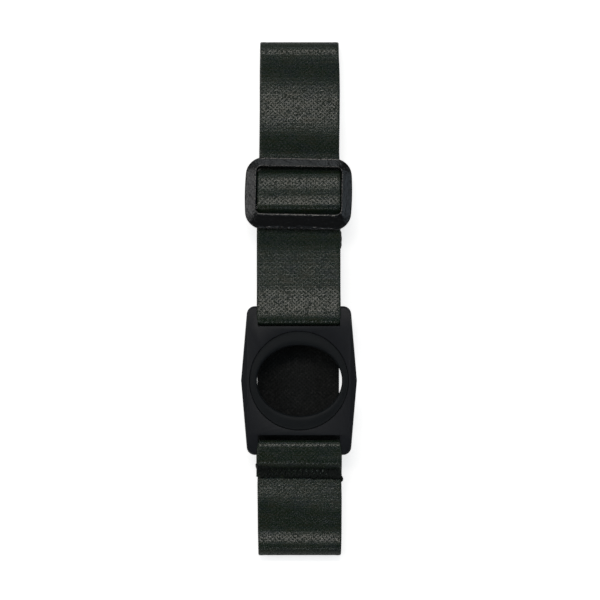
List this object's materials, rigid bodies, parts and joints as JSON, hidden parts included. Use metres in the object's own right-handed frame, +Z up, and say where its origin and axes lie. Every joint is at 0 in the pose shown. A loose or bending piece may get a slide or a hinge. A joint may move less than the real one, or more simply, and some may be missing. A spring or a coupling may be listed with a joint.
{
  "type": "webbing arm band with puck holder",
  "caption": "Flat-lying adjustable elastic webbing arm band with a plastic tri-glide slider and a moulded holder plate whose round pocket and oval window take a small puck.",
  "frame": {"origin": "centre of the band's box on the surface that the back run lies on", "axes": "+Z up from that surface through the layers, +Y along the webbing from the holder to the slider, +X to the right across the webbing, seen from the front"},
  "size_m": [0.0358, 0.1588, 0.0124],
  "materials": {
    "webbing": "satin twill",
    "thread": "twisted thread",
    "slider_plastic": "semi-gloss moulded",
    "holder_plastic": "matte moulded",
    "ring_rubber": "soft matte"
  },
  "bodies": {
    "back": {"strap_back_middle": "webbing", "strap_back_upper": "webbing", "strap_back_lower": "webbing"},
    "front": {"strap_top_fold": "webbing", "strap_bottom_fold": "webbing", "strap_upper_front": "webbing", "strap_middle_front": "webbing", "strap_upper_wrap": "webbing", "strap_return": "webbing", "strap_lower_front": "webbing"},
    "carriage": {"strap_slider_crossing": "webbing", "strap_end_loop": "webbing", "end_loop_seam": "thread"},
    "slider": {"slider_frame": "slider_plastic"},
    "holder": {"holder_frame": "holder_plastic", "grip_ring": "ring_rubber", "strap_lower_wrap": "webbing", "strap_end_tab": "webbing", "tab_seam": "thread"}
  },
  "joints": [
    {"name": "loop_open", "type": "slide", "parent": "back", "child": "front", "axis": [0, 0, 1], "range_m": [0, 0.03], "deforming": ["strap_back_upper", "strap_back_lower"]},
    {"name": "slider_slide", "type": "slide", "parent": "front", "child": "carriage", "axis": [0, 1, 0], "range_m": [-0.008, 0.016], "deforming": ["strap_upper_front", "strap_middle_front", "strap_return"]},
    {"name": "slider_tilt", "type": "hinge", "parent": "carriage", "child": "slider", "pos_m": [0, 0.0332, 0.0079], "axis": [1, 0, 0], "range_deg": [-4, 2]},
    {"name": "holder_tilt", "type": "hinge", "parent": "front", "child": "holder", "pos_m": [0, -0.00405, 0.00855], "axis": [-1, 0, 0], "range_deg": [0, 8], "deforming": ["strap_lower_front"]}
  ]
}
